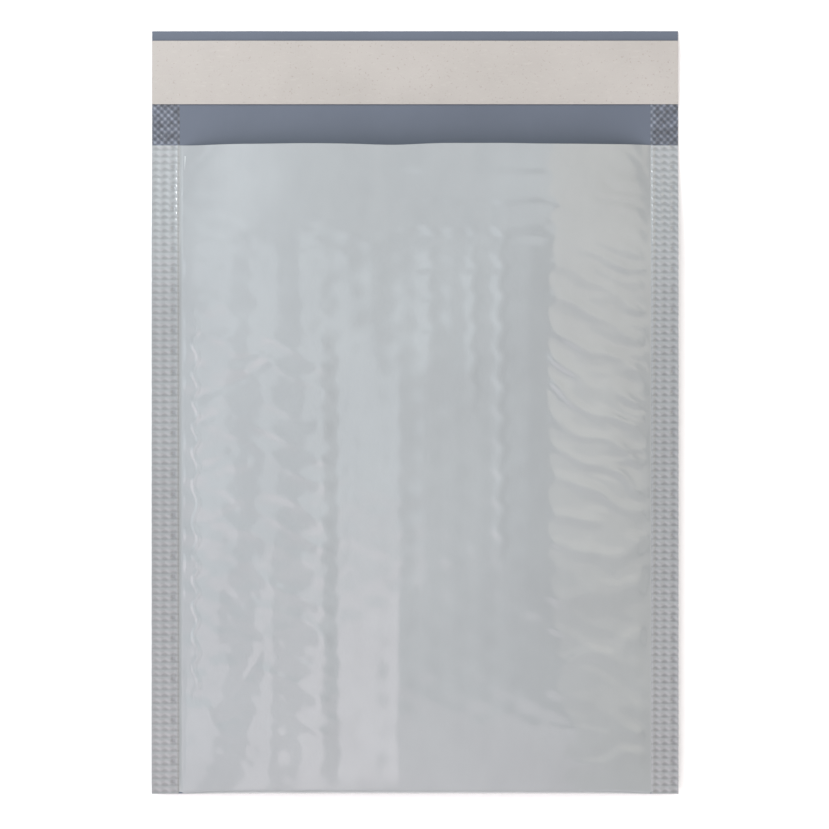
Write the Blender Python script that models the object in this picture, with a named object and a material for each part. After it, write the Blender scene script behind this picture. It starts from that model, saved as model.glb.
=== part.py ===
"""A padded envelope: an open, empty bubble-lined film mailer lying on its back.

The row frame: +X across the envelope, +Y from the bottom fold towards the mouth and the flap, +Z up from the
surface that it lies on. The origin is under the middle of the whole length, flap included. Metres.

Four real pieces: the outer film (one web, folded at the bottom and welded to itself down both sides), the
bubble liner (one web, folded the same way, inside it), the hot-melt adhesive strip on the flap, and the
release liner that covers it.
"""

import bmesh
import bpy

# Driving dimensions.
WIDTH = 0.185  # cut edge to cut edge
POCKET_LENGTH = 0.228  # bottom fold to mouth
FLAP_LENGTH = 0.040  # mouth to the flap's free edge
SEAL_WIDTH = 0.0095  # each embossed side weld
THICKNESS = 0.014  # the plump middle of the pocket
FILM = 0.0001  # outer film
PADDING = 0.0036  # one layer of the bubble liner
FIT_GAP = 0.0003  # between neighbouring pieces
SEAL_LIFT = 0.0032  # how far the side welds and the fold stand off the surface

# How the pillow shape runs in from its welded rim.
CROWN_Y = 0.060  # the front panel climbs from the bottom fold over this length
BACK_CURL = 0.014  # the back panel curls up to the rim over this width
SEAL_FALL = 0.042  # the side welds come down to the flap over this length, which ends at the release liner
CROWN_FULLNESS = 3.0
SEAM_STEP = 0.00015  # least half opening between the liner's two layers

# The bubble liner's edges, measured in from the outer film's own.
LINER_INSET = 0.002  # its sides from the welds
LINER_RIM = 0.009  # where its two layers part, from the welds
LINER_FOLD_INSET = 0.003
LINER_FOLD_RIM = 0.007
LINER_RECESS = 0.004  # back from the mouth

# The strips on the flap.
RELEASE_WIDTH = 0.0223
RELEASE_FROM_EDGE = 0.0034
ADHESIVE_WIDTH = 0.0170
STRIP = 0.0001  # thickness of each

LENGTH = POCKET_LENGTH + FLAP_LENGTH
SIDE = WIDTH / 2
WELD = SIDE - SEAL_WIDTH  # inner edge of a side weld
FOLD = -LENGTH / 2
MOUTH = FOLD + POCKET_LENGTH
FLAP_EDGE = LENGTH / 2
RELEASE_TOP = FLAP_EDGE - RELEASE_FROM_EDGE
RELEASE_BOTTOM = RELEASE_TOP - RELEASE_WIDTH

# Where the surfaces have a row of points: half of the width, measured from the middle, and the length, from
# the fold.
HALF_STATIONS = (
    0.014, 0.028, 0.042, 0.054, 0.064, 0.070, WELD - LINER_RIM, 0.0775, WELD - LINER_INSET, 0.0822,
)
FOLD_STATIONS = (0.001, LINER_FOLD_INSET, 0.005, LINER_FOLD_RIM, 0.011, 0.017, 0.026, 0.038, 0.060)
POCKET_STATIONS = (0.095, 0.130, 0.165, 0.190, 0.201, 0.210, 0.217, POCKET_LENGTH - LINER_RECESS)
FLAP_STATIONS = (0.232, 0.237, RELEASE_BOTTOM - FOLD, LENGTH)


def clamp(value):
    return min(max(value, 0.0), 1.0)


def smooth(value):
    """0 to 1 with level ends."""
    t = clamp(value)
    return t * t * (3 - 2 * t)


def inward(x):
    """How far a point lies in from the nearer side weld, and 0 on the weld."""
    return max(WELD - abs(x), 0.0)


def crown(distance, reach, fullness=CROWN_FULLNESS):
    """A pillow's rise from its rim: steep at first, then level."""
    return (1 - (1 - clamp(distance / reach)) ** fullness) ** 0.5


def curl(distance):
    """The back panel's fall from the rim to the surface below."""
    return 1 - (1 - clamp(distance / BACK_CURL)) ** 2


def lift(y):
    """The underside of a side weld: raised along the pocket, and coming down to lie flat with the flap."""
    return SEAL_LIFT * (1 - smooth(1 - (RELEASE_BOTTOM - y) / SEAL_FALL))


def back_outer(x, y):
    return lift(y) * (1 - curl(inward(x)) * curl(y - FOLD))


def back_inner(x, y):
    return back_outer(x, y) + FILM


def weld_line(x, y):
    """The joint between the front and back films, seen at the cut edges."""
    return lift(y) + FILM


def front_outer(x, y):
    rim = lift(y) + 2 * FILM
    return rim + (THICKNESS - rim) * crown(inward(x), WELD) * crown(y - FOLD, CROWN_Y)


def front_inner(x, y):
    return front_outer(x, y) - FILM


def liner_under(x, y):
    return back_inner(x, y) + FIT_GAP


def liner_over(x, y):
    return front_inner(x, y) - FIT_GAP


def liner_middle(x, y):
    return (liner_under(x, y) + liner_over(x, y)) / 2


def on_rim(x, y):
    """The line round the cavity where the liner's two layers part, and everything outside it."""
    return inward(x) < LINER_RIM + FILM or y - FOLD < LINER_FOLD_RIM + FILM


def liner_floor(x, y):
    """The inside of the liner's back layer, which thins where the two layers are pinched towards the rim."""
    if on_rim(x, y):
        return liner_middle(x, y)
    return min(liner_under(x, y) + PADDING, liner_middle(x, y) - SEAM_STEP)


def liner_roof(x, y):
    if on_rim(x, y):
        return liner_middle(x, y)
    return max(liner_over(x, y) - PADDING, liner_middle(x, y) + SEAM_STEP)


def skin(bm, xs, ys, height):
    """A sheet of triangles over the stations, split the same way in every skin, so that two skins never
    cross. The split mirrors about the middle."""
    rows = [[bm.verts.new((x, y, height(x, y))) for x in xs] for y in ys]
    for near, far in zip(rows, rows[1:]):
        for i in range(len(xs) - 1):
            if xs[i] < 0:
                bm.faces.new((near[i], near[i + 1], far[i + 1]))
                bm.faces.new((near[i], far[i + 1], far[i]))
            else:
                bm.faces.new((near[i], near[i + 1], far[i]))
                bm.faces.new((near[i + 1], far[i + 1], far[i]))
    return rows


def side_columns(rows):
    return [row[0] for row in rows], [row[-1] for row in rows]


def strip(bm, ends, other_ends):
    """A narrow strip of faces between two rows of points, as at a cut edge. Where the rows share a point, or
    run together, the faces close to nothing and welding removes them."""
    for a, b, c, d in zip(ends, ends[1:], other_ends[1:], other_ends):
        bm.faces.new((a, b, c))
        bm.faces.new((a, c, d))


def edge_row(bm, points, height):
    return [bm.verts.new((x, y, height(x, y))) for x, y in points]


def between(stations, low, high):
    slack = FILM / 10
    return [s for s in stations if low - slack <= s <= high + slack]


def pouch(bm, xs, ys, rim, cavity_start, mouth, over, roof, seam, floor, under, flap_ys=()):
    """A flat pocket as one closed body: outer skins over and under, an inner skin on each side of the cavity,
    and the seam where they are joined round the rim. flap_ys carries the back layer on past the mouth."""
    pocket_ys = between(ys, ys[0], mouth)
    cavity_xs, cavity_ys = between(xs, -rim, rim), between(pocket_ys, cavity_start, mouth)
    top = skin(bm, xs, pocket_ys, over)
    bottom = skin(bm, xs, pocket_ys, under)
    ceiling = skin(bm, cavity_xs, cavity_ys, roof)
    skin(bm, cavity_xs, cavity_ys, floor)
    # The sides and the fold, each in two strips that meet on the seam.
    for column, (upper, lower) in enumerate(zip(side_columns(top), side_columns(bottom))):
        x = xs[0] if column == 0 else xs[-1]
        middle = edge_row(bm, [(x, y) for y in pocket_ys], seam)
        strip(bm, upper, middle)
        strip(bm, middle, lower)
    middle = edge_row(bm, [(x, pocket_ys[0]) for x in xs], seam)
    strip(bm, top[0], middle)
    strip(bm, middle, bottom[0])
    # The mouth: the front layer's cut edge down to the cavity, and the seam on each side of it.
    edge = {round(v.co.x, 6): v for v in ceiling[-1]}
    for x in xs:
        if round(x, 6) not in edge:
            edge[round(x, 6)] = bm.verts.new((x, mouth, seam(x, mouth)))
    strip(bm, top[-1], [edge[round(x, 6)] for x in xs])
    if flap_ys:
        upper = skin(bm, xs, [mouth, *flap_ys], floor)
        lower = skin(bm, xs, [mouth, *flap_ys], under)
        for flap_side, under_side in zip(side_columns(upper), side_columns(lower)):
            strip(bm, flap_side, under_side)
        strip(bm, upper[-1], lower[-1])
    else:
        lips = [(x, mouth) for x in xs]
        lips = edge_row(bm, lips, lambda x, y: floor(x, y) if abs(x) <= rim else seam(x, y))
        strip(bm, lips, bottom[-1])
    weld_together(bm)


def weld_together(bm):
    """Joins the skins and strips where they meet, and drops faces that closed to nothing."""
    weld_distance = FILM / 100
    bmesh.ops.remove_doubles(bm, verts=bm.verts, dist=weld_distance)
    bmesh.ops.dissolve_degenerate(bm, edges=bm.edges, dist=weld_distance)
    bmesh.ops.delete(bm, geom=[v for v in bm.verts if not v.link_faces], context="VERTS")
    bmesh.ops.recalc_face_normals(bm, faces=bm.faces)


def material(name, colour, roughness, metallic=0.0):
    made = bpy.data.materials.new(name)
    made.use_nodes = True
    shader = made.node_tree.nodes["Principled BSDF"]
    shader.inputs["Base Color"].default_value = (*colour, 1)
    shader.inputs["Roughness"].default_value = roughness
    shader.inputs["Metallic"].default_value = metallic
    return made


def finish_object(name, bm, finish):
    mesh = bpy.data.meshes.new(name)
    bm.to_mesh(mesh)
    bm.free()
    mesh.materials.append(finish)
    obj = bpy.data.objects.new(name, mesh)
    bpy.context.scene.collection.objects.link(obj)
    return obj


def across(limit):
    """The X stations out to the limit on both sides."""
    half = [x for x in HALF_STATIONS if x < limit - FILM] + [limit]
    return [-x for x in reversed(half)] + [0.0] + half


def along(start, end):
    """The Y stations from start to end."""
    stations = [FOLD + s for s in (0.0, FILM, *FOLD_STATIONS, *POCKET_STATIONS, POCKET_LENGTH)]
    return between(stations, start, end)


def outer_film():
    bm = bmesh.new()
    pouch(
        bm,
        xs=[-SIDE, *across(WELD), SIDE],
        ys=along(FOLD, MOUTH),
        rim=WELD,
        cavity_start=FOLD + FILM,
        mouth=MOUTH,
        over=front_outer,
        roof=lambda x, y: weld_line(x, y) if y < FOLD + 2 * FILM else front_inner(x, y),
        seam=weld_line,
        floor=lambda x, y: weld_line(x, y) if y < FOLD + 2 * FILM else back_inner(x, y),
        under=back_outer,
        flap_ys=[FOLD + s for s in FLAP_STATIONS],
    )
    return finish_object("outer_film", bm, material("pearl_film", (0.50, 0.55, 0.58), 0.28))


def bubble_liner():
    bm = bmesh.new()
    pouch(
        bm,
        xs=across(WELD - LINER_INSET),
        ys=along(FOLD + LINER_FOLD_INSET, MOUTH - LINER_RECESS),
        rim=WELD - LINER_RIM,
        cavity_start=FOLD + LINER_FOLD_RIM,
        mouth=MOUTH - LINER_RECESS,
        over=liner_over,
        roof=liner_roof,
        seam=liner_middle,
        floor=liner_floor,
        under=liner_under,
    )
    return finish_object("bubble_liner", bm, material("clear_bubble_film", (0.86, 0.89, 0.90), 0.18))


def flap_strip(name, width, centre_y, base_z, finish):
    """A thin strip right across the flap."""
    bm = bmesh.new()
    bmesh.ops.create_cube(bm, size=1.0)
    bmesh.ops.scale(bm, vec=(WIDTH, width, STRIP), verts=bm.verts)
    obj = finish_object(name, bm, finish)
    obj.location = (0.0, centre_y, base_z + STRIP / 2)
    return obj


def clear_scene():
    for obj in list(bpy.data.objects):
        bpy.data.objects.remove(obj)


def main():
    clear_scene()
    outer_film()
    bubble_liner()
    strip_centre = (RELEASE_TOP + RELEASE_BOTTOM) / 2
    adhesive_base = FILM + FIT_GAP
    release_base = adhesive_base + STRIP + FIT_GAP
    adhesive = material("hot_melt_adhesive", (0.72, 0.68, 0.52), 0.35)
    release = material("release_paper", (0.56, 0.53, 0.50), 0.65)
    flap_strip("adhesive_strip", ADHESIVE_WIDTH, strip_centre, adhesive_base, adhesive)
    flap_strip("release_liner", RELEASE_WIDTH, strip_centre, release_base, release)


main()
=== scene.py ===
"""The looks of the padded envelope: film, welds, bubble liner, adhesive and release liner, lit from above.

Lengths in this script are in millimetres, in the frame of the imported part: X across, Y from the bottom fold
to the flap, Z up. They become metres when a mesh is made.
"""

import math

import bpy
import numpy as np
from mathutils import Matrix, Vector


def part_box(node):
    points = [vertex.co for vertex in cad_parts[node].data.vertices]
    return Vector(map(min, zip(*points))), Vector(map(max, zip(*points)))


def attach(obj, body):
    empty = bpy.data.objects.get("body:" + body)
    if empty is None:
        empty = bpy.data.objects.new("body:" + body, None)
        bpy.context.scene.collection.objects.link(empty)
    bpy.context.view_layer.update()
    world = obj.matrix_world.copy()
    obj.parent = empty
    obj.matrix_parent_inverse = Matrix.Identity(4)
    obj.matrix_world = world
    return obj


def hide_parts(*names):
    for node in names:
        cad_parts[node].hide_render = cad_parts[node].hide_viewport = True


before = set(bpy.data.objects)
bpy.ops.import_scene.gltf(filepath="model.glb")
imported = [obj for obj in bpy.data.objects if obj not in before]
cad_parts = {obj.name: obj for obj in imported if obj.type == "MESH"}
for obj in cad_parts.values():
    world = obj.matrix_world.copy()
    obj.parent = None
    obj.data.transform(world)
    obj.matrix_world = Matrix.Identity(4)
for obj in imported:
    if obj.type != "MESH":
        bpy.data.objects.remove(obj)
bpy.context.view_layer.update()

MM = 0.001

# The CAD's own sizes.
film_low, film_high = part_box("outer_film")
liner_low, liner_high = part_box("bubble_liner")
release_low, release_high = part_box("release_liner")
adhesive_low, adhesive_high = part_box("adhesive_strip")

SIDE = film_high.x / MM
FOLD = film_low.y / MM
FLAP_EDGE = film_high.y / MM
TOP = film_high.z / MM
RELEASE_BOTTOM = release_low.y / MM
RELEASE_TOP = release_high.y / MM
LINER_SIDE = liner_high.x / MM
LINER_FOLD = liner_low.y / MM
LINER_MOUTH = liner_high.y / MM

# The film and its welds.
MOUTH = 94.0
WELD_WIDTH = 9.5
WELD = SIDE - WELD_WIDTH
FILM = 0.1
WELD_LIFT = 3.2
WELD_FALL = 42.0

# How the pocket rises: to a crown up the length, over a shoulder beside each weld, and off a round fold.
CROWN_Y = 125.0
SHOULDER = 50.0
SHOULDER_FULLNESS = 2.5
FOLD_ROUND = 1.8
SLACK = 0.50
MARGIN = 1.2
MOUTH_DROOP = 0.20
BACK_CURL = 14.0
GUTTER_DEPTH = 0.13

# The bubble liner's hexagonal lattice: columns along Y, bubbles half a pitch apart in neighbouring columns.
BUBBLE_PITCH = 10.6
COLUMN_PITCH = 9.14
FIRST_COLUMN = -77.9
BUBBLE_RADIUS = 4.9
BUBBLE_HEIGHT = 3.2
LINER_CLEARANCE = 0.45
LINER_FLAT = 0.12

# The embossing roller's pattern: links across a weld, ribs along it, and a nick at every third rib.
KNURL_X = 3.2
RIB_PITCH = 2.4
SCALLOP = 0.13
RIB_DEPTH = 0.13
KNURL_DEPTH = 0.34
NICK_LEFT = 85.0
NICK_RIGHT = 90.5
WELD_STEP = 0.26
BEAD_HEIGHT = 0.15

# The strips on the flap.
RELEASE_THICKNESS = 0.12
ADHESIVE_THICKNESS = 0.1

# Room left below the CAD's top for the bubbles and folds.
HEADROOM = 1.0

# Edges bent more sharply than this are shaded as edges.
SHARP_EDGE = math.radians(55)


# --- Small numeric tools --------------------------------------------------------------------------


def smoothstep(low, high, value):
    t = np.clip((value - low) / (high - low), 0, 1)
    return t * t * (3 - 2 * t)


def window(low, high, soft, value):
    """1 between low and high, with soft ends outside them."""
    return smoothstep(low - soft, low, value) * (1 - smoothstep(high, high + soft, value))


def ridge(distance, width):
    """A smooth bump that is 1 at distance 0."""
    return np.exp(-((distance / width) ** 2))


def bend(value, start, softness):
    """0 before start and value - start after it, with a soft corner."""
    t = (value - start) / softness
    return softness * np.logaddexp(0, t)


def smooth_noise(x, y, scale_x, scale_y, seed, octaves=2):
    """A sum of plane waves of random direction: a soft field of about -1 to 1."""
    waves = np.random.default_rng(seed)
    total = np.zeros_like(x)
    count = 9
    for octave in range(octaves):
        factor = 2.0**octave
        for _ in range(count):
            angle = waves.uniform(0, 2 * math.pi)
            phase = waves.uniform(0, 2 * math.pi)
            reach = waves.uniform(0.6, 1.4)
            kx = factor * reach * math.cos(angle) / scale_x
            ky = factor * reach * math.sin(angle) / scale_y
            total += np.sin(2 * math.pi * (kx * x + ky * y) + phase) / factor
    return total / math.sqrt(count)


# --- The envelope's surfaces ----------------------------------------------------------------------


def lift(y):
    """The underside of a side weld, which stands off along the pocket and comes down to the flap."""
    return WELD_LIFT * smoothstep(0, WELD_FALL, MOUTH + 2 - y)


def crown(distance, reach, fullness):
    return np.sqrt(1 - (1 - np.clip(distance / reach, 0, 1)) ** fullness)


def curl(distance):
    return 1 - (1 - np.clip(distance / BACK_CURL, 0, 1)) ** 2


def inward(x):
    return np.maximum(WELD - np.abs(x), 0)


def lattice_waves(x, y):
    """The three plane waves of the bubble lattice: columns, ridges falling to the right, ridges rising."""
    u = (x - FIRST_COLUMN) / COLUMN_PITCH
    v = y / BUBBLE_PITCH
    tau = 2 * math.pi
    return np.cos(tau * u), np.cos(tau * (v + u / 2)), np.cos(tau * (v - u / 2))


def crest(wave, sharpness):
    """Turns a cosine into narrow crests with wide troughs."""
    return ((1 + wave) / 2) ** sharpness


def serration(y, x=0.0):
    """The sideways wander that the bubbles give to a lengthwise fold: one leaning tooth for each bubble."""
    turn = 2 * math.pi * (y / BUBBLE_PITCH + x / (2 * COLUMN_PITCH))
    return np.sin(turn) + 0.35 * np.sin(2 * turn + 0.6)


# Long shallow roofs that the panel keeps from being stacked flat, each facing left and then right. In each:
# left foot, top, right foot, lower end, upper end, height, softness of the top, and how far the bubbles
# serrate it.
ROOFS = (
    (-62.0, -50.6, -44.0, -128, -50, 0.20, 0.8, 1.0),
    (-44.0, -31.5, -27.0, -128, 14, 0.16, 1.0, 1.1),
    (-27.0, -6.0, 46.0, -126, 6, 0.45, 0.35, 0.15),
    (-6.0, 46.8, 84.0, -45, 86, 0.80, 0.30, 1.5),
    (-79.0, -63.0, -52.0, 24, 56, 0.20, 0.4, 0.1),
    (1.5, 5.5, 8.5, 26, 62, 0.056, 0.4, 0.9),
    (17.0, 20.5, 22.5, 10, 62, 0.066, 0.3, 0.8),
    (26.5, 30.0, 32.0, -42, 62, 0.088, 0.3, 0.9),
    (-28.0, -16.0, -4.0, 22, 52, 0.06, 1.5, 0.6),
    (-24.0, -21.5, -20.0, -60, 4, 0.030, 0.4, 0.5),
)


def roof(x, y, left, top, right, low, high, height, softness, wander):
    place = x + wander * serration(y)
    rising = bend(place, left, softness) - bend(place, top, softness)
    falling = bend(place, top, softness) - bend(place, right, softness)
    length = window(low, high, 14 + 32 * height, y)
    return height * length * (rising / (top - left) - falling / (right - top))


def leaning_ridges(x, y, start, lean, warp, seed):
    """Ridges that the bubble rows pull across the film, one to each bubble, in wandering lines."""
    waves = smooth_noise(x, y, 42, 30, seed, 2)
    turn = 2 * math.pi * (y / BUBBLE_PITCH + lean * (x - start) / (2 * COLUMN_PITCH) + warp * waves)
    return crest(np.cos(turn + 0.5 * np.sin(turn)), 1.3) - 0.4


def padding_relief(x, y):
    """How the bubbles print through the front panel: faintly all over, as leaning ridges down both sides."""
    near_mouth = smoothstep(MOUTH - 8, MOUTH - 30, y)
    faint = 0.009 * near_mouth * smoothstep(0, 12, y - FOLD) * sum(lattice_waves(x, y))
    patchy = 0.75 + 0.45 * smooth_noise(x, y, 30, 26, 52, 1)
    onset = smoothstep(46.0, 49.5, x - 0.8 * serration(y))
    width = onset * (1 - smoothstep(76, 82, x))
    strength = 0.30 * window(-32, 34, 24, y) + 0.09 * window(-125, 70, 14, y)
    right = strength * patchy * width * leaning_ridges(x, y, 47, 1.0, 0.22, 51)
    fine = 0.10 * window(-40, 82, 8, y) * smoothstep(58, 70, x) * (1 - smoothstep(79, 82, x))
    fine_turn = 2 * math.pi * (y / 6.2 + x / 13.0) + 2.4 * smooth_noise(x, y, 25, 20, 53, 1)
    right = right + fine * patchy * np.cos(fine_turn)
    left_width = window(-64, -33, 6, x) * window(-110, 22, 20, y)
    left = 0.09 * patchy * left_width * leaning_ridges(x, y, -60, 1.0, 0.20, 54)
    streaks = crest(np.cos(2 * math.pi * (y / 21 - x / 34 + 0.35 * smooth_noise(x, y, 45, 40, 55, 2))), 1.3)
    low_right = smoothstep(46, 64, x) * (1 - smoothstep(79, 83, x)) * window(-120, -52, 14, y)
    crinkled = 0.25 + smoothstep(-22, -32, x) + smoothstep(44, 50, x)
    crinkle = 0.007 * crinkled * smooth_noise(x, y, 10, 7.5, 58, 2)
    beside_weld = window(-80, -60, 8, x) * window(-120, 60, 12, y)
    facets = 0.06 * beside_weld * smooth_noise(x, y, 15, 12, 57, 2)
    return faint + right + left + 0.30 * low_right * streaks + crinkle + facets


def edge_line(x, y):
    """The narrow fold beside the left weld, which winds round the first column of bubbles."""
    winding = -76.9 + 0.95 * np.cos(2 * math.pi * y / BUBBLE_PITCH + 1.1 * smooth_noise(x, y, 60, 60, 56, 1))
    along = window(-92, 25, 16, y)
    bubbles = 0.05 * ridge(x + 73, 5) * sum(lattice_waves(x, y)) / 3
    return along * (0.30 * ridge(x - winding, 0.65) + bubbles)


# Short creases: start, end, depth, width.
CREASES = (
    ((-78, 3), (-48, 18), -0.20, 1.6),
    ((-78, -22), (-61, -13), -0.16, 1.4),
    ((-77, -4), (-66, 0), -0.10, 1.0),
    ((-71, -110), (-57, -104), -0.14, 1.3),
    ((-57, -63), (-55, -65), -0.12, 0.7),
    ((-50, -82), (-36, -88), -0.05, 1.5),
    ((-78, -92), (-70, -111), 0.12, 1.1),
    ((-71, -110), (-52, -84), -0.12, 1.2),
    ((-80, -60), (-66, -54), -0.08, 1.0),
    ((-76, -40), (-60, -33), -0.10, 1.1),
    ((-64, 16), (-50, 24), -0.10, 1.0),
    ((-80, 30), (-66, 24), 0.10, 1.2),
    ((-79, 84), (-69, 94), -0.16, 1.3),
    ((84, 82), (72, 95), -0.16, 1.3),
)


def crease(x, y, start, end, depth, width):
    ax, ay = start
    bx, by = end
    length = math.hypot(bx - ax, by - ay)
    along = ((x - ax) * (bx - ax) + (y - ay) * (by - ay)) / length
    across = ((x - ax) * (by - ay) - (y - ay) * (bx - ax)) / length
    bow = across + 0.06 * length * (along / length - 0.5) ** 2 * 4
    ends = window(0.2 * length, 0.8 * length, 0.3 * length, along)
    return depth * ends * ridge(bow, width)


def puckers(x, y):
    """Short wrinkles that run in from the welds."""
    depth = np.exp(-inward(x) / 4.5) * smoothstep(0, 2.5, inward(x))
    wander = 2.2 * smooth_noise(x, y, 60, 40, 11, 2)
    left = np.cos(2 * math.pi * (y + wander) / BUBBLE_PITCH)
    right = np.cos(2 * math.pi * (y + 0.45 * x + wander) / (0.9 * BUBBLE_PITCH))
    strength = 0.4 + 0.4 * smooth_noise(x, y, 90, 45, 12, 1)
    return 0.35 * depth * strength * np.where(x < 0, left, right) * smoothstep(MOUTH, MOUTH - 20, y)


def mouth_corners(x, y):
    """Flat triangles where the front panel's corners are pulled down to the welds."""
    from_mouth = MOUTH - y
    reach = 13.0 - 0.9 * from_mouth
    inside = np.clip((reach - inward(x)) / 13.0, 0, 1)
    return -0.7 * inside * inside * smoothstep(0, 3, inward(x))


def gutter(x, y):
    """How far the two panels dip together beside the left weld."""
    along = smoothstep(0, 8, y - FOLD) * smoothstep(MOUTH - 16, MOUTH - 45, y)
    return GUTTER_DEPTH * ridge(inward(x) - 1.4, 0.85) * along * (x < 0)


def front(x, y):
    """The front panel's outer face."""
    rim = lift(y) + 2 * FILM
    from_fold = (1 - SLACK) * crown(y - FOLD, FOLD_ROUND, 2.2) + SLACK * crown(y - FOLD, CROWN_Y, 2.2)
    margin = np.where(x < 0, MARGIN, 0)
    from_weld = 1 - (1 - np.clip((inward(x) - margin) / SHOULDER, 0, 1)) ** SHOULDER_FULLNESS
    to_mouth = 1 - MOUTH_DROOP * smoothstep(20, MOUTH + 20, y)
    shape = from_weld * from_fold * to_mouth
    base = rim + (TOP - HEADROOM - rim) * shape
    detail = padding_relief(x, y) + edge_line(x, y) + puckers(x, y) + mouth_corners(x, y)
    for values in ROOFS:
        detail = detail + roof(x, y, *values)
    for start, end, depth, width in CREASES:
        detail = detail + crease(x, y, start, end, depth, width)
    detail = detail + 0.08 * smooth_noise(x, y, 120, 130, 3, 2) + 0.012 * smooth_noise(x, y, 22, 16, 4, 2)
    settled = smoothstep(0, 5, inward(x)) * smoothstep(0, 10, y - FOLD)
    return base + detail * settled - gutter(x, y)


def back(x, y):
    """The back panel's outer face, which is also the flap's underside."""
    curled = curl(inward(x)) * curl(y - FOLD)
    columns, falling, rising = lattice_waves(x, y)
    hollows = 0.12 * (1 - (columns + falling + rising) / 3) * smoothstep(MOUTH, MOUTH - 15, y)
    settled = smoothstep(10, 20, inward(x)) * smoothstep(6, 20, y - FOLD)
    return lift(y) * (1 - curled) + hollows * settled + flap_wave(x, y) - gutter(x, y)


def flap_wave(x, y):
    """The flap's slight unevenness, which stays on or above the surface below."""
    wave = 0.5 + 0.5 * smooth_noise(x, y, 95, 60, 21, 1)
    return 0.30 * np.clip(wave, 0, 1) * smoothstep(MOUTH + 4, MOUTH + 22, y)


# --- Meshes ---------------------------------------------------------------------------------------


def stations(*runs):
    """Places along one axis: each run is (start, end, step). The count is made odd, so that every second one
    can be used for a coarser face and still reach both ends."""
    places = [runs[0][0]]
    for start, end, step in runs:
        count = max(1, round(abs(end - start) / step))
        places += [start + (end - start) * (i + 1) / count for i in range(count)]
    if len(places) % 2 == 0:
        places.insert(1, (places[0] + places[1]) / 2)
    return np.array(places)


def grid_normals(points):
    down = np.gradient(points, axis=0)
    across = np.gradient(points, axis=1)
    normals = np.cross(down, across)
    return normals / np.linalg.norm(normals, axis=2, keepdims=True)


def closed_sheet(name, face, other, materials, face_slot=None, other_slot=None):
    """A closed mesh between a fine grid of points and a coarse one with every second row and column of it.

    face_slot and other_slot give a material index for each cell, as functions of its row and column."""
    rows, columns = face.shape[:2]
    coarse_rows, coarse_columns = other.shape[:2]
    offset = rows * columns
    fine = np.arange(offset).reshape(rows, columns)
    coarse = offset + np.arange(coarse_rows * coarse_columns).reshape(coarse_rows, coarse_columns)
    faces = quads(fine).tolist() + quads(coarse)[:, ::-1].tolist()
    slots = cell_slots(face_slot, fine.shape) + cell_slots(other_slot, coarse.shape)
    rims = (
        (fine[0], coarse[0]),
        (fine[:, -1], coarse[:, -1]),
        (fine[-1, ::-1], coarse[-1, ::-1]),
        (fine[::-1, 0], coarse[::-1, 0]),
    )
    for outer, inner in rims:
        wall = rim_faces(outer, inner)
        faces += wall
        slots += [0] * len(wall)
    points = np.concatenate([face.reshape(-1, 3), other.reshape(-1, 3)]) * MM
    mesh = bpy.data.meshes.new(name)
    mesh.from_pydata(points.tolist(), [], faces)
    mesh.polygons.foreach_set("material_index", np.array(slots, dtype=np.int32))
    mesh.shade_smooth()
    mesh.set_sharp_from_angle(angle=SHARP_EDGE)
    for material in materials:
        mesh.materials.append(material)
    mesh.validate()
    obj = bpy.data.objects.new(name, mesh)
    bpy.context.scene.collection.objects.link(obj)
    return obj


def quads(index):
    corners = (index[:-1, :-1], index[1:, :-1], index[1:, 1:], index[:-1, 1:])
    return np.stack(corners, axis=-1).reshape(-1, 4)


def cell_slots(choose, shape):
    rows, columns = np.meshgrid(np.arange(shape[0] - 1), np.arange(shape[1] - 1), indexing="ij")
    if choose is None:
        return [0] * rows.size
    return choose(rows, columns).astype(int).reshape(-1).tolist()


def rim_faces(outer, inner):
    """Joins a run of points to one with half as many."""
    faces = []
    for i in range(len(inner) - 1):
        a, middle, b = (int(outer[2 * i + k]) for k in range(3))
        c, d = int(inner[i]), int(inner[i + 1])
        faces += [[a, middle, c], [middle, d, c], [middle, b, d]]
    return faces


def surface(xs, ys, height):
    x, y = np.meshgrid(xs, ys)
    return np.stack([x, y, height(x, y)], axis=-1)


# --- Materials ------------------------------------------------------------------------------------


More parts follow.
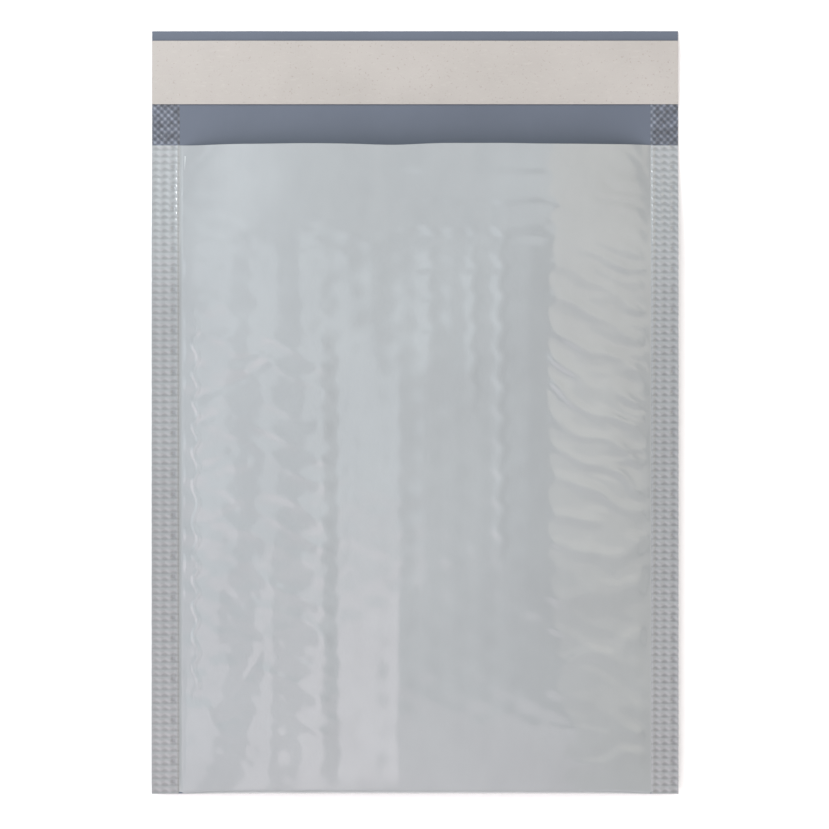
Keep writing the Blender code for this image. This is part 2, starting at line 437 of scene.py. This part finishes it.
class Nodes:
    """A short way to write a node tree."""

    def __init__(self, name):
        self.material = bpy.data.materials.new(name)
        self.material.use_nodes = True
        self.tree = self.material.node_tree
        self.shader = self.tree.nodes["Principled BSDF"]
        self.place = self.add("ShaderNodeTexCoord").outputs["Object"]

    def add(self, kind, **settings):
        node = self.tree.nodes.new(kind)
        for key, value in settings.items():
            setattr(node, key, value)
        return node

    def link(self, source, target):
        self.tree.links.new(source, target)

    def noise(self, scale, detail=3.0, roughness=0.5, stretch=(1, 1, 1)):
        mapping = self.add("ShaderNodeMapping")
        mapping.inputs["Scale"].default_value = stretch
        self.link(self.place, mapping.inputs["Vector"])
        node = self.add("ShaderNodeTexNoise")
        node.inputs["Scale"].default_value = scale
        node.inputs["Detail"].default_value = detail
        node.inputs["Roughness"].default_value = roughness
        self.link(mapping.outputs["Vector"], node.inputs["Vector"])
        return node.outputs["Fac"]

    def ramp(self, factor, *stops):
        """Colours by place: each stop is (position, colour)."""
        node = self.add("ShaderNodeValToRGB")
        elements = node.color_ramp.elements
        while len(elements) < len(stops):
            elements.new(0.5)
        for element, (position, colour) in zip(elements, stops):
            element.position = position
            element.color = (*colour, 1)
        self.link(factor, node.inputs["Fac"])
        return node.outputs["Color"]

    def spread(self, factor, low, high, start=0.3, end=0.7):
        node = self.add("ShaderNodeMapRange")
        for name, value in (("From Min", start), ("From Max", end), ("To Min", low), ("To Max", high)):
            node.inputs[name].default_value = value
        self.link(factor, node.inputs["Value"])
        return node.outputs["Result"]

    def mix(self, factor, first, second, blend="MIX"):
        node = self.add("ShaderNodeMix", data_type="RGBA", blend_type=blend)
        sockets = {s.identifier: s for s in node.inputs}
        for socket, value in (("Factor_Float", factor), ("A_Color", first), ("B_Color", second)):
            if isinstance(value, (int, float)):
                sockets[socket].default_value = value
            elif isinstance(value, tuple):
                sockets[socket].default_value = (*value, 1)
            else:
                self.link(value, sockets[socket])
        return next(s for s in node.outputs if s.identifier == "Result_Color")

    def math(self, operation, first, second=0.0):
        node = self.add("ShaderNodeMath", operation=operation)
        for socket, value in zip(node.inputs, (first, second)):
            if isinstance(value, bpy.types.NodeSocket):
                self.link(value, socket)
            else:
                socket.default_value = value
        return node.outputs["Value"]

    def axis(self, letter):
        split = self.add("ShaderNodeSeparateXYZ")
        self.link(self.place, split.inputs["Vector"])
        return split.outputs[letter]

    def wave(self, distance, pitch):
        """A cosine along a distance in metres, with its pitch in millimetres."""
        return self.math("COSINE", self.math("MULTIPLY", distance, 2 * math.pi / (pitch * MM)))

    def bump(self, height, distance, strength=1.0, below=None):
        node = self.add("ShaderNodeBump")
        node.inputs["Strength"].default_value = strength
        node.inputs["Distance"].default_value = distance
        self.link(height, node.inputs["Height"])
        if below is not None:
            self.link(below, node.inputs["Normal"])
        return node.outputs["Normal"]

    def set(self, **values):
        for name, value in values.items():
            socket = self.shader.inputs[name.replace("_", " ")]
            if isinstance(value, bpy.types.NodeSocket):
                self.link(value, socket)
            elif isinstance(value, tuple):
                socket.default_value = (*value, 1)
            else:
                socket.default_value = value


def pearl_film(name="pearl_film", weld_painted_light_and_shade=False):
    """The silver-grey outside of the film: a satin pearl pigment under a glossy skin. On the welds it is
    greyed by painted shade, with painted highlights on the rib crests."""
    n = Nodes(name)
    clouds = n.noise(28, detail=2)
    flow = n.noise(60, detail=3, stretch=(2.2, 1.0, 1))
    colour = n.ramp(clouds, (0.35, (0.237, 0.254, 0.262)), (0.65, (0.250, 0.269, 0.277)))
    colour = n.mix(n.spread(flow, 0.0, 0.14), colour, (0.32, 0.346, 0.355))
    if weld_painted_light_and_shade:
        # On the welds the colour is multiplied by painted shade and painted highlights.
        colour = n.mix(1.0, colour, painted_weld_shade(n), "MULTIPLY")
    grain = n.bump(n.noise(900, detail=2), 0.000012)
    creep = n.bump(n.noise(140, detail=3, stretch=(1.4, 0.8, 1)), 0.00005, below=grain)
    n.set(Base_Color=colour, Roughness=n.spread(n.noise(90, detail=3), 0.36, 0.44), Normal=creep)
    n.set(Metallic=0.12, IOR=1.5, Coat_Weight=1.0, Coat_Roughness=0.07, Coat_IOR=1.5)
    return n.material


def painted_weld_shade(n):
    """Painted shade and light on the welds' pearl film: darkest a little below the middle of the pocket and
    lightest at the mouth, dark in the grooves between the ribs and in a small nick at every third rib, light
    on the rib crests."""
    across = n.axis("X")
    along = n.axis("Y")
    from_edge = n.math("SUBTRACT", n.math("ABSOLUTE", across), WELD * MM)
    # Painted shade along the weld: darkest a little below the middle of the pocket, lightest at the mouth.
    length = n.ramp(
        n.spread(along, 0.0, 1.0, FOLD * MM, MOUTH * MM),
        (0.0, (0.84, 0.81, 0.81)),
        (0.45, (0.76, 0.75, 0.75)),
        (0.72, (0.80, 0.80, 0.80)),
        (1.0, (1.0, 1.0, 1.0)),
    )
    # Painted shade in the grooves between the ribs and links, and a painted highlight on their crests.
    links = n.wave(from_edge, KNURL_X)
    scalloped = n.math("ADD", along, n.math("MULTIPLY", links, SCALLOP * MM))
    groove = n.math("MULTIPLY", n.wave(scalloped, RIB_PITCH), n.spread(n.noise(300, detail=2), 0.5, 1.1))
    depth = n.math("ADD", groove, n.math("MULTIPLY", links, 0.45))
    level = n.spread(depth, 0.0, 1.0, -1.2, 1.2)
    painted_rib_shade = n.ramp(level, (0.1, (0.78, 0.78, 0.78)), (0.55, (1.09, 1.09, 1.09)))
    # Painted shade in the nick at every third rib.
    third = n.spread(n.wave(along, 3 * RIB_PITCH), 0.0, 1.0, 0.80, 0.93)
    middle = 0.5 * (NICK_RIGHT - NICK_LEFT) * MM
    from_middle = n.math("ABSOLUTE", n.math("SUBTRACT", across, middle))
    from_nick = n.math("ABSOLUTE", n.math("SUBTRACT", from_middle, 0.5 * (NICK_RIGHT + NICK_LEFT) * MM))
    place = n.spread(from_nick, 1.0, 0.0, 0.0003, 0.0013)
    painted_nick_shade = n.ramp(n.math("MULTIPLY", third, place), (0.2, (1.0, 1.0, 1.0)), (0.8, (0.74, 0.74, 0.76)))
    return n.mix(1.0, n.mix(1.0, length, painted_rib_shade, "MULTIPLY"), painted_nick_shade, "MULTIPLY")


def slate_film(name="slate_film", weld_painted_light_and_shade=False):
    """The dark inside of the film. On the welds its embossed points carry a painted highlight
    and its pits painted shade.
    """
    n = Nodes(name)
    clouds = n.noise(35, detail=3)
    colour = n.ramp(clouds, (0.35, (0.084, 0.100, 0.132)), (0.65, (0.091, 0.108, 0.142)))
    if weld_painted_light_and_shade:
        # Painted highlight on the embossed points and painted shade in the pits between them.
        from_edge = n.math("SUBTRACT", n.math("ABSOLUTE", n.axis("X")), WELD * MM)
        points = n.math("MULTIPLY", n.wave(from_edge, RIB_PITCH), n.wave(n.axis("Y"), RIB_PITCH))
        level = n.spread(points, 0.0, 1.0, -1.0, 1.0)
        shade = n.ramp(level, (0.25, (0.58, 0.58, 0.60)), (0.95, (1.75, 1.66, 1.55)))
        worn = n.ramp(n.noise(420, detail=1), (0.35, (0.62, 0.62, 0.62)), (0.65, (1.15, 1.15, 1.15)))
        shade = n.mix(1.0, shade, worn, "MULTIPLY")
        colour = n.mix(1.0, colour, shade, "MULTIPLY")
    grain = n.bump(n.noise(1100, detail=2), 0.00002)
    creep = n.bump(n.noise(170, detail=3, stretch=(1.8, 0.6, 1)), 0.00010, below=grain)
    n.set(Base_Color=colour, Roughness=n.spread(n.noise(110), 0.34, 0.44), Normal=creep)
    n.set(IOR=1.4, Coat_Weight=0.4 if weld_painted_light_and_shade else 0.12, Coat_Roughness=0.12, Coat_IOR=1.5)
    return n.material


def release_paper(name="release_paper"):
    """Coated paper with short fibres and specks."""
    n = Nodes(name)
    clouds = n.noise(40, detail=4)
    fibres = n.noise(900, detail=4, roughness=0.7, stretch=(0.35, 1, 1))
    colour = n.ramp(clouds, (0.3, (0.340, 0.322, 0.300)), (0.7, (0.376, 0.356, 0.334)))
    colour = n.mix(n.spread(fibres, 0.0, 0.5, 0.55, 0.75), colour, (0.42, 0.395, 0.375))
    specks = n.noise(1300, detail=1)
    colour = n.mix(n.spread(specks, 0.0, 0.6, 0.66, 0.76), colour, (0.26, 0.235, 0.21))
    bumps = n.bump(fibres, 0.00004)
    n.set(Base_Color=colour, Roughness=n.spread(clouds, 0.5, 0.62), Normal=bumps)
    n.set(IOR=1.45)
    return n.material


def bubble_film(name="bubble_film"):
    """Clear polyethylene, milky where it is seen edge on."""
    n = Nodes(name)
    haze = n.noise(120, detail=3)
    colour = n.ramp(haze, (0.3, (0.80, 0.84, 0.86)), (0.7, (0.90, 0.93, 0.94)))
    n.set(Base_Color=colour, Roughness=n.spread(haze, 0.10, 0.20), Normal=n.bump(haze, 0.0001))
    n.set(IOR=1.5, Transmission_Weight=0.40)
    return n.material


def hot_melt(name="hot_melt"):
    """Tacky adhesive laid down in fine lines."""
    n = Nodes(name)
    lines = n.noise(300, detail=2, stretch=(0.1, 1, 1))
    colour = n.ramp(lines, (0.35, (0.60, 0.55, 0.38)), (0.65, (0.74, 0.70, 0.55)))
    n.set(Base_Color=colour, Roughness=n.spread(lines, 0.25, 0.4), Normal=n.bump(lines, 0.0001))
    n.set(IOR=1.5)
    return n.material


def floor_paper(name="studio_floor"):
    n = Nodes(name)
    grain = n.noise(30, detail=2)
    colour = n.ramp(grain, (0.3, (0.955, 0.955, 0.955)), (0.7, (0.965, 0.965, 0.965)))
    n.set(Base_Color=colour, Roughness=0.9)
    return n.material


# --- Pieces ---------------------------------------------------------------------------------------


def belongs(obj, slot, *nodes):
    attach(obj, "root")
    if nodes:
        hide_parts(*nodes)
    return obj


def bubble_room(x, y):
    """How tall a bubble can stand here between the film and the other layer: hardly at all at the rim."""
    gap = front(x, y) - back(x, y)
    return np.clip(gap / 2 - LINER_CLEARANCE - 0.35, 0.1, BUBBLE_HEIGHT)


def dome(x, y):
    """The bubbles' profile on the hexagonal lattice: 0 between bubbles and 1 on their nearly flat tops."""
    column = np.round((x - FIRST_COLUMN) / COLUMN_PITCH)
    across = x - FIRST_COLUMN - column * COLUMN_PITCH
    shift = 0.5 * np.mod(column, 2) * BUBBLE_PITCH
    along = np.mod(y - shift + BUBBLE_PITCH / 2, BUBBLE_PITCH) - BUBBLE_PITCH / 2
    reach = np.clip(np.hypot(across, along) / BUBBLE_RADIUS, 0, 1)
    return (1 - reach**3.2) ** 0.55


def make_bubble_liner(material):
    """One folded web of bubble film, bubbles towards the outer film. Its outer face is the fine one."""
    xs = stations((-LINER_SIDE, LINER_SIDE, 1.1))
    front_ys = stations((LINER_MOUTH, LINER_MOUTH - 14, 0.6), (LINER_MOUTH - 14, LINER_FOLD, 1.2))
    back_ys = front_ys[::-1]

    def upper(x, y):
        return front(x, y) - FILM - LINER_CLEARANCE - bubble_room(x, y) * (1 - dome(x, y))

    def lower(x, y):
        return back(x, y) + FILM + LINER_CLEARANCE + bubble_room(x, y) * (1 - dome(x, y))

    def upper_flat(x, y):
        return front(x, y) - FILM - LINER_CLEARANCE - bubble_room(x, y) - LINER_FLAT

    def lower_flat(x, y):
        return back(x, y) + FILM + LINER_CLEARANCE + bubble_room(x, y) + LINER_FLAT

    outer = np.concatenate([surface(xs, front_ys, upper), surface(xs, back_ys, lower)[1:]])
    inner = np.concatenate([surface(xs, front_ys, upper_flat), surface(xs, back_ys, lower_flat)[1:]])
    outer[len(front_ys) - 1, :, 2] = (front(xs, front_ys[-1]) + back(xs, front_ys[-1])) / 2
    inner[len(front_ys) - 1] = outer[len(front_ys) - 1] + np.array([0, 0.25, 0])
    liner = closed_sheet("bubble_padding", outer, inner[::2, ::2], (material,))
    return belongs(liner, "bubble_film", "bubble_liner")


def make_film(pearl, slate):
    """The whole web: front panel, bottom fold, back panel and flap. Its outer face is the fine one."""
    xs = stations(
        (-SIDE, -WELD - 0.4, 3.0), (-WELD - 0.4, -WELD + 2, 0.3), (-WELD + 2, -WELD + 9, 0.5),
        (-WELD + 9, WELD - 2, 0.95), (WELD - 2, WELD + 0.4, 0.3), (WELD + 0.4, SIDE, 3.0),
    )
    front_ys = stations((MOUTH, FOLD + 2, 0.9), (FOLD + 2, FOLD, 0.25))
    back_ys = stations((FOLD, FOLD + 3, 0.5), (FOLD + 3, FLAP_EDGE, 2.4))
    over = surface(xs, front_ys, front)
    cut = 0.22 * smooth_noise(over[..., 0], 0 * over[..., 0], 45, 45, 61, 2)
    over[..., 1] += cut * smoothstep(MOUTH - 6, MOUTH, over[..., 1])
    under = surface(xs, back_ys, back)
    outer = np.concatenate([over, under[1:]])
    if len(outer) % 2 == 0:
        raise ValueError("the web needs an odd number of rows")
    normals = grid_normals(outer)
    on_front = (np.arange(len(outer)) < len(over))[:, None, None]
    thickness = 1.6 * FILM + 0.2 * on_front * smoothstep(3, 10, inward(outer[..., :1]))
    inner = (outer - thickness * normals)[::2, ::2]
    film = closed_sheet("film_web", outer, inner, (pearl, slate), None, lambda r, c: np.ones_like(r))
    return belongs(film, "pearl_film", "outer_film")


def ribs(x, y):
    """The roller's marks on the front: close ribs across the weld, each a chain of three links."""
    column = 2 * math.pi * (np.abs(x) - WELD) / KNURL_X
    wave = np.cos(2 * math.pi * (y + SCALLOP * np.cos(column)) / RIB_PITCH)
    links = RIB_DEPTH * (wave * (0.75 + 0.25 * np.cos(column + 0.8)) + 0.35 * np.cos(column))
    nick_x = np.where(x < 0, -NICK_LEFT, NICK_RIGHT)
    nick_y = np.mod(y + 1.5 * RIB_PITCH, 3 * RIB_PITCH) - 1.5 * RIB_PITCH
    from_nick = np.hypot((x - nick_x) / 1.5, nick_y)
    return links - 0.30 * ridge(from_nick, 0.42)


def knurl(x, y):
    """The marks on the single film beyond the mouth: rows of points, each row half a step along."""
    wave = np.cos(2 * math.pi * (np.abs(x) - WELD) / RIB_PITCH) * np.cos(2 * math.pi * y / RIB_PITCH)
    return KNURL_DEPTH * np.clip(wave, -0.3, 1.0)


def weld_top(x, y):
    on_front = smoothstep(MOUTH + 0.2, MOUTH - 0.2, y)
    inner_edge = smoothstep(0.9, 1.7, np.abs(x) - WELD)
    marks = on_front * ribs(x, y) + (1 - on_front) * knurl(x, y)
    ticks = 1 + 0.5 * np.cos(2 * math.pi * y / RIB_PITCH)
    bead = BEAD_HEIGHT * on_front * ridge(np.abs(x) - WELD - 0.45, 0.35) * ticks
    step = WELD_STEP * smoothstep(-0.3, 0.6, np.abs(x) - WELD)
    return lift(y) + 2 * FILM + step + np.maximum(marks, -0.22) * inner_edge + bead


def weld_under(x, y):
    return lift(y) - 0.14 - 0.4 * ribs(x, y)


def make_weld(side, pearl, slate):
    """An embossed side weld, light on the front panel's side and dark beyond the mouth."""
    edge = stations((WELD - 0.2, WELD + 1.7, 0.3), (WELD + 1.7, SIDE, 0.4))
    xs = edge if side > 0 else -edge[::-1]
    ys = stations((RELEASE_BOTTOM + 1.5, FOLD, 0.4))
    dark_rows = int(np.sum(ys > MOUTH))
    name = "side_weld_left" if side < 0 else "side_weld_right"
    face = surface(xs, ys, weld_top)
    other = surface(xs, ys, weld_under)[::2, ::2]
    weld = closed_sheet(name, face, other, (pearl, slate), lambda r, c: r < dark_rows)
    return belongs(weld, "pearl_film")


def make_release_liner(material):
    xs = stations((-SIDE, SIDE, 1.5))
    ys = stations((RELEASE_TOP, RELEASE_BOTTOM, 0.75))
    rest = release_low.z / MM

    def over(x, y):
        return rest + RELEASE_THICKNESS + flap_wave(x, y) + 0.05 * smooth_noise(x, y, 60, 25, 41, 2)

    face = surface(xs, ys, over)
    other = (face - np.array([0, 0, RELEASE_THICKNESS]))[::2, ::2]
    return belongs(closed_sheet("peel_strip", face, other, (material,)), "release_paper", "release_liner")


def make_adhesive(material):
    xs = stations((-SIDE + 0.6, SIDE - 0.6, 2.0))
    ys = stations((adhesive_high.y / MM, adhesive_low.y / MM, 1.0))
    rest = adhesive_low.z / MM

    def over(x, y):
        return rest + ADHESIVE_THICKNESS + flap_wave(x, y)

    face = surface(xs, ys, over)
    other = (face - np.array([0, 0, ADHESIVE_THICKNESS]))[::2, ::2]
    return belongs(closed_sheet("glue_strip", face, other, (material,)), "hot_melt", "adhesive_strip")


# --- Studio ---------------------------------------------------------------------------------------


def make_floor():
    bpy.ops.mesh.primitive_plane_add(size=8)
    floor = bpy.context.object
    floor.name = "studio_floor"
    floor.location.z = -0.0004
    floor.data.materials.append(floor_paper())


def softbox(name, x_range, y_range, radiance, colour):
    """A level rectangular light above the object, given by the ranges it covers."""
    light = bpy.data.lights.new(name, "AREA")
    light.shape = "RECTANGLE"
    light.size = x_range[1] - x_range[0]
    light.size_y = y_range[1] - y_range[0]
    light.energy = radiance * math.pi * light.size * light.size_y
    light.color = colour
    obj = bpy.data.objects.new(name, light)
    obj.location = (sum(x_range) / 2, sum(y_range) / 2, SOFTBOX_HEIGHT)
    bpy.context.scene.collection.objects.link(obj)


WORLD_LIGHT = 0.36
SOFTBOX_HEIGHT = 2.3

# The left-hand softboxes: narrow ones of different strength side by side, so that each small change in the
# film's slope shows as an edge. In each: name, the range across, radiance.
LEFT_BOXES = (
    ("edge", (-0.08, -0.04), 1.7),
    ("near", (-0.24, -0.08), 2.4),
    ("second", (-0.50, -0.24), 1.0),
    ("third", (-0.85, -0.50), 2.0),
    ("fourth", (-1.4, -0.85), 0.85),
    ("fifth", (-2.4, -1.4), 1.75),
    ("sixth", (-4.2, -2.4), 1.1),
    ("seventh", (-7.0, -4.2), 3.0),
)

# The other softboxes: name, the range across, the range along, radiance, colour.
OTHER_BOXES = (
    ("cool_top", (-8.0, -0.04), (0.31, 1.6), 1.0, (0.90, 0.96, 1.0)),
    ("far_left", (-18.0, -7.0), (-3.0, 3.0), 2.0, (0.92, 0.96, 1.0)),
    ("overhead", (-0.04, 0.05), (-0.42, 0.33), 0.95, (0.92, 0.98, 1.0)),
    ("overhead_middle", (0.05, 0.10), (-0.42, 0.33), 0.70, (0.91, 0.98, 1.0)),
    ("overhead_right", (0.10, 0.15), (-0.42, 0.33), 0.40, (0.90, 0.98, 1.0)),
    ("overhead_dim", (0.15, 0.53), (-0.42, 0.33), 0.12, (0.92, 0.98, 1.0)),
    ("overhead_top", (-0.04, 0.53), (0.33, 1.6), 1.4, (0.92, 0.97, 1.0)),
    ("rosy_low", (-0.04, 0.53), (-1.9, -0.42), 1.3, (1.0, 0.90, 0.95)),
    ("right_low", (0.53, 3.0), (-1.9, -0.28), 0.85, (1.0, 0.95, 0.90)),
    ("right_middle", (0.53, 3.0), (-0.28, 0.07), 1.3, (1.0, 0.94, 0.87)),
    ("warm_right", (0.53, 3.2), (0.07, 1.4), 1.95, (1.0, 0.935, 0.84)),
    ("far_right", (3.2, 8.0), (-3.0, 3.0), 1.1, (1.0, 0.97, 0.93)),
    ("far_low", (-3.0, 3.0), (-9.0, -1.9), 1.5, (1.0, 0.93, 0.96)),
)


def make_lights():
    world = bpy.data.worlds.new("studio")
    bpy.context.scene.world = world
    world.use_nodes = True
    background = world.node_tree.nodes["Background"]
    background.inputs["Color"].default_value = (1.0, 1.0, 1.0, 1)
    background.inputs["Strength"].default_value = WORLD_LIGHT
    for name, x_range, radiance in LEFT_BOXES:
        softbox(name + "_cool", x_range, (-0.11, 0.31), radiance, (0.86, 0.95, 1.0))
        softbox(name + "_mixed", x_range, (-0.21, -0.11), radiance, (0.94, 0.94, 0.98))
        softbox(name + "_rosy", x_range, (-1.7, -0.21), 1.28 * radiance, (1.0, 0.91, 0.96))
    for box in OTHER_BOXES:
        softbox(*box)
    near_lamp("near_lamp", (-0.34, 0.37, 0.50), 0.22, 2.1, (0.93, 0.97, 1.0))


def near_lamp(name, place, size, power, colour):
    """A small softbox close to one corner, so that the light falls off across the envelope."""
    light = bpy.data.lights.new(name, "AREA")
    light.size = size
    light.energy = power
    light.color = colour
    obj = bpy.data.objects.new(name, light)
    obj.location = place
    obj.rotation_euler = (-Vector(place)).to_track_quat("-Z", "Y").to_euler()
    bpy.context.scene.collection.objects.link(obj)


def make_camera():
    """Straight down, with the flap at the top of the picture."""
    distance = 2.0
    span = 0.2916
    camera = bpy.data.cameras.new("camera")
    camera.lens = camera.sensor_width * distance / span
    obj = bpy.data.objects.new("camera", camera)
    obj.location = (-0.0002, -0.0008, distance)
    bpy.context.scene.collection.objects.link(obj)
    bpy.context.scene.camera = obj


def main():
    bpy.context.scene.view_settings.view_transform = "Standard"
    pearl = pearl_film()
    slate = slate_film()
    make_film(pearl, slate)
    make_bubble_liner(bubble_film())
    # The weld materials carry painted shade and painted highlights in their colour.
    weld_pearl_painted_shade = pearl_film("weld_film_painted_shade", weld_painted_light_and_shade=True)
    weld_slate_painted_light = slate_film("weld_slate_painted_light", weld_painted_light_and_shade=True)
    make_weld(-1, weld_pearl_painted_shade, weld_slate_painted_light)
    make_weld(1, weld_pearl_painted_shade, weld_slate_painted_light)
    make_release_liner(release_paper())
    make_adhesive(hot_melt())
    make_floor()
    make_lights()
    make_camera()


main()
